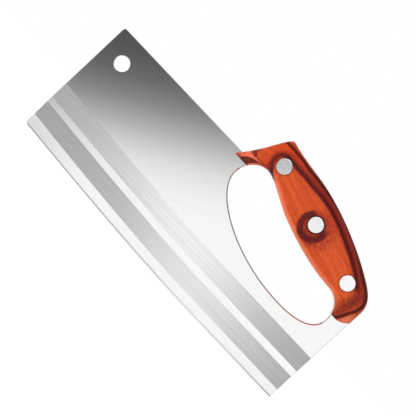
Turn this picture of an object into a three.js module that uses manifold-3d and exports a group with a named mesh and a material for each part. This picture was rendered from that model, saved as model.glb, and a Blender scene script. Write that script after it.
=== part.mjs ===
// Meat cleaver: one steel plate ground thin towards its cutting edge, cut out behind into a
// closed D-shaped frame for the fingers, with a wooden scale riveted on each side of the
// frame's upper bar by three cutler's rivets.
//
// It stands on its cutting edge. +X runs from the front end to the heel, +Z from the cutting
// edge to the spine, and Y is the thickness, with the middle of the steel at Y = 0.
// Outlines are drawn in blade coordinates: x from the front end, z from the cutting edge.

import * as THREE from "three";
import { mergeVertices } from "three/addons/utils/BufferGeometryUtils.js";
import Module from "manifold-3d";

const wasm = await Module();
wasm.setup();

// ---------------------------------------------------------------- driving dimensions (mm)

const LENGTH = 220;
const SPINE_HEIGHT = 88.6;
const HEEL_X = 219.4;
const STEEL_HALF_THICKNESS = 1.5;
const SPINE_CORNER = 2;
const TIP_CORNER = 2.5;

// The cutting edge and every grind line sweep up towards the front end.
const SWEEP_LENGTH = 140;
const SWEEP_POWER = 1.5;
const EDGE_SWEEP = 6.6;
const EDGE_HALF_THICKNESS = 0.12;

// Grind lines from the bevel's top to the end of the grind: height above the cutting edge at
// the heel, rise at the front end, and half the steel's thickness along the line.
const GRIND_LINES = [
  { height: 6.4, rise: 7.8, half: 0.7 },
  { height: 17.8, rise: 7.2, half: 1.14 },
  { height: 22.3, rise: 6.7, half: 1.17 },
  { height: 33.8, rise: 6.6, half: STEEL_HALF_THICKNESS },
];
const GRIND_STATIONS = 20;
const GRIND_MARGIN = 4;

const HANG_HOLE = { x: 14.5, z: 72.4, radius: 4.9 };

// The finger opening, as one closed row of cubic curves. It starts under the grip's front
// foot, follows the grip to its rear foot, and comes back along the blade.
const OPENING_START = [109.7, 84.85];
const OPENING_UNDER_GRIP = [
  [112, 89, 116.1, 92, 121, 92],
  [128, 91.8, 141, 82.6, 150, 80],
  [168, 73.8, 183, 70.8, 195, 70.6],
  [202.4, 70.45, 206.65, 66.15, 208.15, 60.95],
];
const OPENING_OVER_BLADE = [
  [208.6, 59.5, 208.8, 57.95, 208.8, 56.4],
  [208.8, 46.9, 198, 42.6, 182, 42.6],
  [144, 42.3, 107.6, 61.2, 107.8, 77.4],
  [107.8, 80, 108.5, 82.6, 109.7, 84.85],
];

// The grip's outer edge from the spine, over the horn and down the back to the rear foot.
const HORN_TIP = [99.3, 84.85];
const SPINE_END = [102.1, 88.6];
const GRIP_BACK = [
  [105.95, 93.9, 109.1, 99.2, 111.6, 104.3],
  [113.5, 108, 115.2, 111.3, 117.4, 114],
  [118.2, 115.1, 119.3, 115.3, 120.6, 114.9],
  [128, 112.7, 140, 112, 150, 110.4],
  [170, 107, 192, 98.2, 207.3, 89.6],
  [214.4, 85.6, 220, 81.6, 220, 74],
];

// The wood's rear foot: a round end from the back of the grip to its lowest point, and from
// the finger opening to the same point.
const REAR_FOOT_BACK = [220, 64.8];
const REAR_FOOT_FROM_BACK = [217.6, 62, 213.8, 60.6];
const REAR_FOOT_FROM_OPENING = [209.6, 60.45, 210.3, 60.3, 213.8, 60.6];

const SCALE_THICKNESS = 9.5;
const SCALE_SHOULDER = 4.5;
const SCALE_ROUNDING = 5.5;
const SECTION_STEPS = 10;

// The front foot is scooped to a steep slope inside this circle, as far back as its end.
const SCOOP = { x: 123, z: 43, radius: 48.4, endX: 118, fall: 1.85 };

// Three rivets on a straight line through the grip.
const RIVET_COUNT = 3;
const FIRST_RIVET = { x: 125.4, z: 100.5 };
const RIVET_STEP = { x: 38, z: -10.2 };
const RIVET_HEAD_RADIUS = 4.9;
const RIVET_HEAD_THICKNESS = 1.8;
const RIVET_HEAD_CHAMFER = 0.2;
const SOCKET_RADIUS = 2.5;
const SOCKET_BORE_RADIUS = 1.55;
const PIN_RADIUS = 1.5;
const PIN_CHAMFER = 0.4;
const RIVET_CLEARANCE = 0.05;
const RIVET_END_GAP = 0.4;
const RIVET_HOLE_OVERRUN = 2;

const CURVE_STEPS = 12;
const ROUND_STEPS = 24;

// ------------------------------------------------------------------------------ materials

const polishedSteel = new THREE.MeshStandardMaterial({
  color: 0xcfd0d2, roughness: 0.18, metalness: 1,
});
const redLaminatedWood = new THREE.MeshStandardMaterial({
  color: 0xc4501f, roughness: 0.35, metalness: 0,
});
const rivetSteel = new THREE.MeshStandardMaterial({
  color: 0xd8d8d8, roughness: 0.3, metalness: 1,
});

// --------------------------------------------------------------------- solids and booleans

// Turned shapes have triangles with no area on their axis, which are left out.
function toSolid(geometry) {
  const bare = geometry.clone();
  bare.deleteAttribute("normal");
  bare.deleteAttribute("uv");
  const merged = mergeVertices(bare);
  const triangles = [];
  for (let i = 0; i < merged.index.count; i += 3) {
    const corners = merged.index.array.slice(i, i + 3);
    if (new Set(corners).size === 3) triangles.push(...corners);
  }
  return new wasm.Manifold(new wasm.Mesh({
    numProp: 3,
    vertProperties: new Float32Array(merged.attributes.position.array),
    triVerts: new Uint32Array(triangles),
  }));
}

function toGeometry(solid) {
  const mesh = solid.getMesh();
  const geometry = new THREE.BufferGeometry();
  geometry.setAttribute("position", new THREE.BufferAttribute(mesh.vertProperties, 3));
  geometry.setIndex(new THREE.BufferAttribute(mesh.triVerts, 1));
  geometry.computeVertexNormals();
  return geometry;
}

function subtractAll(geometry, cutters) {
  const cut = cutters.reduce((solid, cutter) => solid.subtract(toSolid(cutter)),
    toSolid(geometry));
  return toGeometry(cut);
}

// A closed solid skinned over rings with the same number of points, its end rings filled by
// fans from their first points. The rings turn anticlockwise seen from the first one's side.
function loft(rings) {
  const count = rings[0].length;
  const index = [];
  for (let ring = 0; ring + 1 < rings.length; ring += 1) {
    for (let i = 0; i < count; i += 1) {
      const a = ring * count + i;
      const b = ring * count + (i + 1) % count;
      index.push(a, b + count, b, a, a + count, b + count);
    }
  }
  const last = (rings.length - 1) * count;
  for (let i = 1; i + 1 < count; i += 1) {
    index.push(0, i, i + 1, last, last + i + 1, last + i);
  }
  const geometry = new THREE.BufferGeometry();
  const corners = rings.flat(2);
  geometry.setAttribute("position", new THREE.Float32BufferAttribute(corners, 3));
  geometry.setIndex(index);
  return geometry;
}

function namedMesh(name, geometry, material) {
  const mesh = new THREE.Mesh(geometry, material);
  mesh.name = name;
  return mesh;
}

// ---------------------------------------------------------------------------------- blade

function sweep(x) {
  return Math.max(0, 1 - x / SWEEP_LENGTH) ** SWEEP_POWER;
}

function addCurves(path, curves) {
  curves.forEach((curve) => path.bezierCurveTo(...curve));
  return path;
}

// Drawn clockwise from the heel and then turned round, as a shape with holes has to be.
function bladeOutline() {
  const outline = new THREE.Path();
  outline.moveTo(HEEL_X, 0);
  for (let i = 0; i < CURVE_STEPS; i += 1) {
    const x = SWEEP_LENGTH + (TIP_CORNER - SWEEP_LENGTH) * (i / CURVE_STEPS);
    outline.lineTo(x, EDGE_SWEEP * sweep(x));
  }
  outline.lineTo(TIP_CORNER, EDGE_SWEEP * sweep(TIP_CORNER));
  outline.quadraticCurveTo(0, EDGE_SWEEP, 0, EDGE_SWEEP + TIP_CORNER);
  outline.lineTo(0, SPINE_HEIGHT - SPINE_CORNER);
  outline.quadraticCurveTo(0, SPINE_HEIGHT, SPINE_CORNER, SPINE_HEIGHT);
  outline.lineTo(...SPINE_END);
  addCurves(outline, GRIP_BACK);
  outline.lineTo(...REAR_FOOT_BACK);
  return new THREE.Shape(outline.getPoints(CURVE_STEPS).reverse());
}

function roundHole(x, z, radius) {
  return new THREE.Path(Array.from({ length: ROUND_STEPS }, (_, i) => {
    const turn = 2 * Math.PI * (i / ROUND_STEPS);
    return new THREE.Vector2(x + radius * Math.cos(turn), z + radius * Math.sin(turn));
  }));
}

function rivetPlaces() {
  return Array.from({ length: RIVET_COUNT }, (_, i) => ({
    x: FIRST_RIVET.x + i * RIVET_STEP.x,
    z: FIRST_RIVET.z + i * RIVET_STEP.z,
  }));
}

// The space beside one face of the blade that grinding takes away, on the side given.
function grindCutter(side) {
  const far = side * 2 * GRIND_MARGIN;
  const rings = [];
  for (let station = 0; station <= GRIND_STATIONS; station += 1) {
    const x = -GRIND_MARGIN + (SWEEP_LENGTH + 2 * GRIND_MARGIN) * (station / GRIND_STATIONS);
    rings.push(grindSection(x, side, far));
  }
  rings.push(grindSection(LENGTH + GRIND_MARGIN, side, far));
  return loft(side > 0 ? rings : rings.map((ring) => ring.toReversed()));
}

function grindSection(x, side, far) {
  const lift = sweep(x);
  const edge = [x, side * EDGE_HALF_THICKNESS, EDGE_SWEEP * lift];
  const lines = GRIND_LINES.map((line) => [x, side * line.half, line.height + line.rise * lift]);
  const last = lines[lines.length - 1];
  const under = extend(lines[0], edge);
  const over = extend(lines[lines.length - 2], last);
  return [[x, far, under[2]], under, ...lines, over, [x, far, over[2]]];
}

// The point reached by going on from one point through another by the grinding margin.
function extend(from, through) {
  const share = GRIND_MARGIN / Math.abs(through[2] - from[2]);
  return through.map((value, axis) => value + (value - from[axis]) * share);
}

function blade() {
  const outline = bladeOutline();
  const opening = new THREE.Path().moveTo(...OPENING_START);
  addCurves(addCurves(opening, OPENING_UNDER_GRIP), OPENING_OVER_BLADE);
  outline.holes.push(opening, roundHole(HANG_HOLE.x, HANG_HOLE.z, HANG_HOLE.radius));
  rivetPlaces().forEach(({ x, z }) => {
    outline.holes.push(roundHole(x, z, SOCKET_RADIUS + RIVET_CLEARANCE));
  });
  const plate = new THREE.ExtrudeGeometry(outline, {
    depth: 2 * STEEL_HALF_THICKNESS, bevelEnabled: false, curveSegments: CURVE_STEPS,
  });
  plate.rotateX(Math.PI / 2).translate(0, STEEL_HALF_THICKNESS, 0);
  return namedMesh("blade", subtractAll(plate, [grindCutter(-1), grindCutter(1)]),
    polishedSteel);
}

// ----------------------------------------------------------------------------- grip scales

// The wood's inner edge from the front foot to the rear foot's lowest point.
function scaleInnerEdge() {
  const edge = addCurves(new THREE.Path().moveTo(...OPENING_START), OPENING_UNDER_GRIP);
  return edge.bezierCurveTo(...REAR_FOOT_FROM_OPENING);
}

// The wood's outer edge from the horn's tip to the rear foot's lowest point.
function scaleOuterEdge() {
  const edge = new THREE.Path().moveTo(...HORN_TIP).lineTo(...SPINE_END);
  addCurves(edge, GRIP_BACK).lineTo(...REAR_FOOT_BACK);
  return edge.quadraticCurveTo(...REAR_FOOT_FROM_BACK);
}

// How the lines across the wood share out the two edges: for each curve of the outer edge,
// the share of the inner edge's length where it ends, and how many lines it gets.
const SCALE_STRETCHES = [
  { innerEnd: 0.02, steps: 2 },
  { innerEnd: 0.08, steps: 6 },
  { innerEnd: 0.12, steps: 4 },
  { innerEnd: 0.14, steps: 3 },
  { innerEnd: 0.33, steps: 6 },
  { innerEnd: 0.83, steps: 12 },
  { innerEnd: 0.92, steps: 7 },
  { innerEnd: 0.95, steps: 2 },
  { innerEnd: 0.99, steps: 4 },
];
const LAST_FOOT_SHARE = 0.93;

function scaleSectionEnds() {
  const inner = scaleInnerEdge();
  const outer = scaleOuterEdge();
  const ends = [[inner.getPointAt(0), outer.curves[0].getPoint(0)]];
  let innerStart = 0;
  SCALE_STRETCHES.forEach(({ innerEnd, steps }, i) => {
    const reach = i === SCALE_STRETCHES.length - 1 ? LAST_FOOT_SHARE : 1;
    for (let step = 1; step <= steps; step += 1) {
      const share = step / steps;
      const along = innerStart + (innerEnd - innerStart) * share;
      ends.push([inner.getPointAt(along), outer.curves[i].getPoint(share * reach)]);
    }
    innerStart = innerEnd;
  });
  return ends;
}

// Shortest distance from a point to the closed line through the corners.
function distanceToOutline(point, corners) {
  const nearest = new THREE.Vector3();
  const place = new THREE.Vector3(point.x, point.y, 0);
  return corners.reduce((best, corner, i) => {
    const next = corners[(i + 1) % corners.length];
    const side = new THREE.Line3(
      new THREE.Vector3(corner.x, corner.y, 0), new THREE.Vector3(next.x, next.y, 0),
    );
    side.closestPointToPoint(place, true, nearest);
    return Math.min(best, nearest.distanceTo(place));
  }, Infinity);
}

// The wood stands up straight to its shoulder, then rounds over to its flat side.
function scaleHeight(point, corners) {
  const inside = Math.min(1, distanceToOutline(point, corners) / SCALE_ROUNDING);
  const rounded = Math.sqrt(1 - (1 - inside) ** 2);
  const height = SCALE_SHOULDER + (SCALE_THICKNESS - SCALE_SHOULDER) * rounded;
  if (point.x > SCOOP.endX) return height;
  const scooped = SCOOP.radius - Math.hypot(point.x - SCOOP.x, point.y - SCOOP.z);
  return Math.min(height, SCALE_THICKNESS - SCOOP.fall * Math.max(0, scooped));
}

function scaleBlank(side) {
  const ends = scaleSectionEnds();
  const corners = [...ends.map(([a]) => a), ...ends.map(([, b]) => b).toReversed()];
  const rings = ends.map(([a, b]) => {
    const ring = [[a.x, side * STEEL_HALF_THICKNESS, a.y]];
    for (let i = 0; i <= SECTION_STEPS; i += 1) {
      const across = (1 - Math.cos(Math.PI * (i / SECTION_STEPS))) / 2;
      const point = a.clone().lerp(b, across);
      const y = STEEL_HALF_THICKNESS + scaleHeight(point, corners);
      ring.push([point.x, side * y, point.y]);
    }
    ring.push([b.x, side * STEEL_HALF_THICKNESS, b.y]);
    return side > 0 ? ring.toReversed() : ring;
  });
  return loft(rings);
}

// The stepped hole that a rivet fills, through the whole grip.
function rivetHoleCutter({ x, z }) {
  const head = RIVET_HEAD_RADIUS + RIVET_CLEARANCE;
  const shank = SOCKET_RADIUS + RIVET_CLEARANCE;
  const seat = gripHalfWidth() - RIVET_HEAD_THICKNESS;
  const beyond = gripHalfWidth() + RIVET_HOLE_OVERRUN;
  const profile = [
    [0, -beyond], [head, -beyond], [head, -seat], [shank, -seat],
    [shank, seat], [head, seat], [head, beyond], [0, beyond],
  ];
  return turned(profile).translate(x, 0, z);
}

function gripScale(name, side) {
  return namedMesh(name, subtractAll(scaleBlank(side), rivetPlaces().map(rivetHoleCutter)),
    redLaminatedWood);
}

// --------------------------------------------------------------------------------- rivets

function gripHalfWidth() {
  return STEEL_HALF_THICKNESS + SCALE_THICKNESS;
}

// A solid turned about the Y axis from a profile of [radius, y] points.
function turned(profile) {
  const points = profile.map(([radius, y]) => new THREE.Vector2(radius, y));
  return new THREE.LatheGeometry(points, ROUND_STEPS);
}

// The front half: a head with a tube that holds the other half's pin.
function rivetSocket() {
  const face = -gripHalfWidth();
  const seat = face + RIVET_HEAD_THICKNESS;
  const mouth = -seat - RIVET_END_GAP;
  return turned([
    [0, face],
    [RIVET_HEAD_RADIUS - RIVET_HEAD_CHAMFER, face],
    [RIVET_HEAD_RADIUS, face + RIVET_HEAD_CHAMFER],
    [RIVET_HEAD_RADIUS, seat],
    [SOCKET_RADIUS, seat],
    [SOCKET_RADIUS, mouth],
    [SOCKET_BORE_RADIUS, mouth],
    [SOCKET_BORE_RADIUS, seat],
    [0, seat],
  ]);
}

// The back half: a head with a solid pin.
function rivetPin() {
  const face = gripHalfWidth();
  const seat = face - RIVET_HEAD_THICKNESS;
  const end = -seat + RIVET_END_GAP;
  return turned([
    [0, end],
    [PIN_RADIUS - PIN_CHAMFER, end],
    [PIN_RADIUS, end + PIN_CHAMFER],
    [PIN_RADIUS, seat],
    [RIVET_HEAD_RADIUS, seat],
    [RIVET_HEAD_RADIUS, face - RIVET_HEAD_CHAMFER],
    [RIVET_HEAD_RADIUS - RIVET_HEAD_CHAMFER, face],
    [0, face],
  ]);
}

function rivets() {
  const group = new THREE.Group();
  rivetPlaces().forEach(({ x, z }, i) => {
    const rivet = new THREE.Group();
    rivet.position.set(x, 0, z);
    rivet.add(namedMesh(`rivet_socket_${i + 1}`, rivetSocket(), rivetSteel));
    rivet.add(namedMesh(`rivet_pin_${i + 1}`, rivetPin(), rivetSteel));
    group.add(rivet);
  });
  return group;
}

// ------------------------------------------------------------------------------- assembly

const tool = new THREE.Group();
tool.position.x = -LENGTH / 2;
tool.add(blade());
tool.add(gripScale("grip_scale_front", -1), gripScale("grip_scale_back", 1));
tool.add(rivets());

const cleaver = new THREE.Group();
cleaver.add(tool);

export default cleaver;
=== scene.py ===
import math

import bmesh
import bpy
import numpy as np
from mathutils import Matrix, Vector
from mathutils.geometry import delaunay_2d_cdt


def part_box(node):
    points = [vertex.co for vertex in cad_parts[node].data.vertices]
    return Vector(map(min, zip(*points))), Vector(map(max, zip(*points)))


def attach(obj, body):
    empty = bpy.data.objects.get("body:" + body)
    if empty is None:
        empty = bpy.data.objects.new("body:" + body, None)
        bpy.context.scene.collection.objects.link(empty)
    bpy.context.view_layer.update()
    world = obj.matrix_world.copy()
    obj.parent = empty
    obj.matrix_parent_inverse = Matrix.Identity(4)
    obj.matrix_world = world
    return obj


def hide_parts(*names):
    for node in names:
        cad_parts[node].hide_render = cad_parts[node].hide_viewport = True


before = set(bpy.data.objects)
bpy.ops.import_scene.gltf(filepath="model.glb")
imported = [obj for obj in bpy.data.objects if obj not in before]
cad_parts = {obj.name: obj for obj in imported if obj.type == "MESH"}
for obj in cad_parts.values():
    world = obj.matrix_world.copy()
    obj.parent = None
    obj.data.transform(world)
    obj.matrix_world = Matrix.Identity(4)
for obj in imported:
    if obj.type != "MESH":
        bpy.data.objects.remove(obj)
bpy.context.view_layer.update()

# The looks of a meat cleaver: a ground steel blade with a closed D-shaped frame, two
# laminated wood scales and three cutler's rivets. Shapes are drawn in millimetres, x from
# the blade's front end and z from its cutting edge, and placed by the CAD boxes.

MM = 0.001
FRONT_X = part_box("blade")[0].x / MM
STEEL_HALF = 1.5
GRIP_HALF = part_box("grip_scale_back")[1].y / MM

# ------------ outlines (millimetres)

HEEL_X = 219.4
SPINE_HEIGHT = 88.6
SPINE_CORNER = 2
TIP_CORNER = 2.5
SWEEP_LENGTH = 140
SWEEP_POWER = 1.5
EDGE_SWEEP = 6.6
EDGE_HALF = 0.04

# Grind lines from the bevel's top to the end of the grind: height at the heel, rise at the
# front end, half the steel's thickness, and the band under the line: its material and its
# rows of faces.
POLISHED, UPPER_BAND, LOWER_BAND, BRIGHT = 0, 1, 2, 3
GRIND_LINES = [
    {"height": 0.9, "rise": 6.6, "half": 0.2, "under": LOWER_BAND, "rows": 1},
    {"height": 6.4, "rise": 7.8, "half": 0.7, "under": BRIGHT, "rows": 4},
    {"height": 17.8, "rise": 7.2, "half": 1.14, "under": LOWER_BAND, "rows": 3},
    {"height": 22.3, "rise": 6.7, "half": 1.17, "under": BRIGHT, "rows": 2},
    {"height": 33.8, "rise": 6.6, "half": STEEL_HALF, "under": UPPER_BAND, "rows": 3},
]
HANG_HOLE = {"x": 14.5, "z": 72.4, "radius": 4.9}

OPENING_START = (109.7, 84.85)
OPENING_UNDER_GRIP = [
    (112, 89, 116.1, 92, 121, 92),
    (128, 91.8, 141, 82.6, 150, 80),
    (168, 73.8, 183, 70.8, 195, 70.6),
    (202.4, 70.45, 206.65, 66.15, 208.15, 60.95),
]
OPENING_OVER_BLADE = [
    (208.6, 59.5, 208.8, 57.95, 208.8, 56.4),
    (208.8, 46.9, 198, 42.6, 182, 42.6),
    (144, 42.3, 107.6, 61.2, 107.8, 77.4),
    (107.8, 80, 108.5, 82.6, 109.7, 84.85),
]
HORN_TIP = (99.3, 84.85)
SPINE_END = (102.1, 88.6)
GRIP_BACK = [
    (105.95, 93.9, 109.1, 99.2, 111.6, 104.3),
    (113.5, 108, 115.2, 111.3, 117.4, 114),
    (118.2, 115.1, 119.3, 115.3, 120.6, 114.9),
    (128, 112.7, 140, 112, 150, 110.4),
    (170, 107, 192, 98.2, 207.3, 89.6),
    (214.4, 85.6, 220, 81.6, 220, 74),
]
REAR_FOOT_BACK = (220, 64.8)
REAR_FOOT_FROM_BACK = (217.6, 62, 213.8, 60.6)
REAR_FOOT_FROM_OPENING = (209.6, 60.45, 210.3, 60.3, 213.8, 60.6)

CURVE_STEPS = 36
ROUND_STEPS = 64
PLATE_STEPS = {"front": 12, "corner": 10, "spine": 30, "foot": 6, "heel": 12}
FILL_PRECISION = 1e-7
NO_LENGTH = 1e-12

# Columns of the grind along the blade. They stand closer at its front end, to follow the
# corner: over this share of the length, from this share of the usual pace.
BLADE_COLUMNS = 150
CLOSE_COLUMNS = {"reach": 0.12, "pace": 0.25}
SETTLING_ROUNDS = 4

FREE_CHAMFER = 0.3
OPENING_CHAMFER = 0.8
HIDDEN_CHAMFER = 0.04
THIN_CHAMFER_SHARE = 0.5
COVERED_BY_GRIP = {"x": (102, 104), "z": (62, 66)}
WELD_REACH = 0.001
SLIVER_REACH = 0.02
BLADE_CREASE = math.radians(30)
GRIP_CREASE = math.radians(32)
RIVET_CREASE = math.radians(35)

# ------------ grip dimensions

SCALE_THICKNESS = GRIP_HALF - STEEL_HALF
SCALE_SHOULDER = 4.5
INNER_ROUNDING = 4.6
OUTER_ROUNDING = 7
HORN_ROUNDING = 4.2
HORN_END = (106, 128)
FOOT_ROUNDING = 2
ACROSS_STEPS = 44
STATION_FACTOR = 5
SCOOP = {"x": 123, "z": 43, "radius": 48.4, "end_x": 118, "fall": 1.85}

# For each curve of the outer edge, the share of the inner edge where it ends and its steps.
SCALE_STRETCHES = [
    (0.02, 2), (0.08, 6), (0.12, 4), (0.14, 3), (0.33, 6), (0.83, 12), (0.92, 7), (0.95, 2),
    (0.997, 5),
]
LAST_FOOT_SHARE = 0.98
FOOT_CURVE_STEPS = 200

RIVET_COUNT = 3
RIVET_HEAD_RADIUS = 4.9
RIVET_HEAD_THICKNESS = 1.8
RIVET_EDGE = 0.22
RIVET_EDGE_FLAT = 1.5
RIVET_EDGE_STEPS = 5
SOCKET_RADIUS = 2.5
SOCKET_BORE_RADIUS = 1.55
PIN_RADIUS = 1.5
PIN_CHAMFER = 0.4
RIVET_CLEARANCE = 0.05
RIVET_END_GAP = 0.4
CUTTER_OVERRUN = 2

# ------------ marks of the materials

# The brushed bands: how far their brushing is turned, and their shade, a painted shade that
# darkens the steel to set how bright each band looks.
UPPER_BRUSH = {"brush_turn": 0.0, "shade": 0.985}
LOWER_BRUSH = {"brush_turn": 0.016, "shade": 0.895}
HAIR_TILT = math.radians(30)

# Dark growth lines of the wood, drawn on its flat side.
GROWTH_LINE_INNER = [
    (126, 90), (122.2, 92.9), (119.7, 95.8), (118.6, 99.4), (118.8, 102.6), (121, 105),
    (125, 106), (131, 105.5), (150, 104.5), (160, 103.6), (170, 101), (180, 97.2), (190, 93),
    (197, 89.4), (204, 85.2), (209, 80.8), (210.8, 76), (210.6, 66), (209, 60),
]
GROWTH_LINE_OUTER = [
    (108, 111.8), (117, 111.9), (130, 111.2), (137, 110.2), (150, 109.2), (170, 105.8),
    (190, 98), (207, 88), (213, 84.4), (217, 79.5), (217.3, 74.5), (215, 68.8), (212.7, 63.6),
    (210.7, 59),
]
HORN_LINE = [(107.4, 97), (106.3, 94), (108.2, 93), (110.6, 92.3), (114, 92.2), (118.5, 92.8)]
# The scoop's dark crescent: a dark layer laid bare, partly painted shade of the scooped facet.
DARK_LAYER = {"x": 112.5, "z": 80.3, "radius": 10.6, "rim": 1.0}
GROWTH_LINE_STEPS = 8
KNOT = {"x": 163, "z": 88.1, "lean": 0.3, "opens": (4, 7.5), "open_share": 0.75}
REAR_SHADE = {"x": 210.4, "z": 72, "lean": 0.3, "half_width": 4.6, "half_height": 10}
GRAIN_TILT = math.radians(-15.1)

# Colours of the wood's layers, in 0 to 255. Some stand for light and shade: the pale pink of
# the finger side's edge and of the front foot is a painted highlight, the dark round the rivet
# heads a painted shadow, and the dark outer band and the scoop's dark layer are partly painted
# shade.
WOOD_COLOURS = {
    "ground": (188, 71, 29), "pale_ground": (204, 88, 40), "fibre": (172, 50, 22),
    "streak": (150, 42, 22), "inner_edge": (246, 140, 102), "outer_band_front": (200, 60, 10),
    "outer_band_rear": (128, 36, 24), "outer_band_layer": (92, 20, 14), "halo": (132, 30, 20),
    "outer_line_darkening": (88, 14, 14), "bloom": (140, 40, 26), "inner_line": (64, 12, 18),
    "rim_line": (62, 14, 14), "rear_shade": (96, 22, 20), "pale_foot": (246, 138, 104),
    "horn_line": (92, 24, 30), "sole": (104, 28, 26), "bared_layer_and_shade": (92, 12, 2),
    "knot_glow": (130, 32, 30), "knot_heart": (122, 32, 20), "knot_ring": (76, 14, 18),
    "rivet_rim_shadow": (58, 10, 8), "glue": (96, 24, 14),
}


# ------------ curve helpers

def cubic(start, curve, steps):
    """Points on one cubic curve, without its start."""
    t = np.linspace(0, 1, steps + 1)[1:, None]
    a, b, c, d = (np.array(p, float) for p in (start, curve[:2], curve[2:4], curve[4:]))
    return a * (1 - t) ** 3 + 3 * b * t * (1 - t) ** 2 + 3 * c * t * t * (1 - t) + d * t ** 3


def quadratic(start, curve, steps):
    """Points on one quadratic curve, without its start."""
    t = np.linspace(0, 1, steps + 1)[1:, None]
    a, b, c = (np.array(p, float) for p in (start, curve[:2], curve[2:]))
    return a * (1 - t) ** 2 + 2 * b * t * (1 - t) + c * t * t


def follow(start, curves):
    """Points along a row of cubic curves, with the start."""
    points = [np.array([start], float)]
    for curve in curves:
        points.append(cubic(points[-1][-1], curve, CURVE_STEPS))
    return np.concatenate(points)


def line(start, end, steps):
    """Points on a straight line, with both ends."""
    return np.linspace(start, end, steps + 1)


def smooth_through(corners):
    """A Catmull-Rom curve through the corners."""
    p = np.array([corners[0], *corners, corners[-1]], float)
    t = np.linspace(0, 1, GROWTH_LINE_STEPS, endpoint=False)[:, None]
    parts = []
    for a, b, c, d in zip(p, p[1:], p[2:], p[3:]):
        parts.append(0.5 * (2 * b + (c - a) * t + (2 * a - 5 * b + 4 * c - d) * t ** 2
                            + (3 * b - a - 3 * c + d) * t ** 3))
    return np.concatenate(parts + [p[-1:]])


def distance_to(points, path):
    """Distance of each point from an open path, and which side of it the point is on."""
    a, b = path[:-1], path[1:]
    along = b - a
    length2 = np.maximum((along ** 2).sum(1), NO_LENGTH)
    best = np.full(len(points), np.inf)
    side = np.zeros(len(points))
    for start, step, l2 in zip(a, along, length2):
        offset = points - start
        t = np.clip(offset @ step / l2, 0, 1)
        gap = offset - t[:, None] * step
        near = np.hypot(gap[:, 0], gap[:, 1])
        cross = step[0] * offset[:, 1] - step[1] * offset[:, 0]
        closer = near < best
        best[closer] = near[closer]
        side[closer] = np.sign(cross[closer])
    return best, side


def smoothstep(low, high, value):
    """0 below low, 1 above high and a smooth step between them."""
    t = np.clip((value - low) / (high - low), 0, 1)
    return t * t * (3 - 2 * t)


def signed_area(loop):
    """Area inside the closed loop, negative where the loop runs clockwise."""
    x, z = loop[:, 0], loop[:, 1]
    return 0.5 * np.sum(x * np.roll(z, -1) - np.roll(x, -1) * z)


def offset_loop(loop, widths, into_steel):
    """The closed loop moved by its widths, to its inside or its outside."""
    before, after = np.roll(loop, 1, 0), np.roll(loop, -1, 0)
    into = (loop - before) / np.linalg.norm(loop - before, axis=1)[:, None]
    out = (after - loop) / np.linalg.norm(after - loop, axis=1)[:, None]
    normal_in = np.stack([-into[:, 1], into[:, 0]], 1)
    normal_out = np.stack([-out[:, 1], out[:, 0]], 1)
    bisector = normal_in + normal_out
    miter = 2 / np.maximum((bisector ** 2).sum(1), 1)
    turn = np.sign(signed_area(loop)) * (1 if into_steel else -1)
    return loop + turn * bisector * (miter * widths)[:, None]


def inside(points, loop):
    """True for each point inside the closed loop."""
    x, z = points[:, 0:1], points[:, 1:2]
    x1, z1 = loop[:, 0], loop[:, 1]
    x2, z2 = np.roll(x1, -1), np.roll(z1, -1)
    crosses = (z1 > z) != (z2 > z)
    rise = np.where(z2 == z1, 1, z2 - z1)
    hits = crosses & (x < (x2 - x1) * (z - z1) / rise + x1)
    return hits.sum(1) % 2 == 1


# ------------ mesh helpers

def link(item):
    bpy.context.scene.collection.objects.link(item)


def to_frame(points):
    """Blade coordinates in millimetres to the row frame in metres."""
    return (np.asarray(points, float) + [FRONT_X, 0, 0]) * MM


def weld(mesh, reach):
    """Joins points closer than the reach, and turns every face outwards."""
    bm = bmesh.new()
    bm.from_mesh(mesh)
    bmesh.ops.remove_doubles(bm, verts=bm.verts, dist=reach * MM)
    bmesh.ops.recalc_face_normals(bm, faces=bm.faces)
    bm.to_mesh(mesh)
    bm.free()


def new_piece(name, node, verts, faces, materials, face_materials=None, smooth=None):
    """A mesh object that stands for a CAD node, or a loose one where the node is None."""
    mesh = bpy.data.meshes.new(name)
    mesh.from_pydata([tuple(v) for v in verts], [], faces)
    for material in materials:
        mesh.materials.append(material)
    if face_materials is not None:
        mesh.polygons.foreach_set("material_index", face_materials)
    if smooth is not None:
        mesh.polygons.foreach_set("use_smooth", smooth)
    weld(mesh, WELD_REACH)
    piece = bpy.data.objects.new(name, mesh)
    link(piece)
    if node:
        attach(piece, "root")
        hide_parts(node)
    return piece


def turned(profile, centre):
    """Vertices and faces of a solid turned about a line along Y through the centre."""
    steps = ROUND_STEPS
    rings = [(r, y) for r, y in profile if r > 0]
    turn = np.arange(steps) * 2 * math.pi / steps
    verts = [(centre[0] + r * math.cos(a), y, centre[1] + r * math.sin(a))
             for r, y in rings for a in turn]
    faces = []
    for ring in range(len(rings) - 1):
        for i in range(steps):
            a, b = ring * steps + i, ring * steps + (i + 1) % steps
            faces.append((a, b, b + steps, a + steps))
    for ring, (_, y) in ((0, profile[0]), (len(rings) - 1, profile[-1])):
        verts.append((centre[0], y, centre[1]))
        tip = len(verts) - 1
        for i in range(steps):
            faces.append((ring * steps + i, ring * steps + (i + 1) % steps, tip))
    return np.array(verts), faces


# ------------ node helpers

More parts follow.
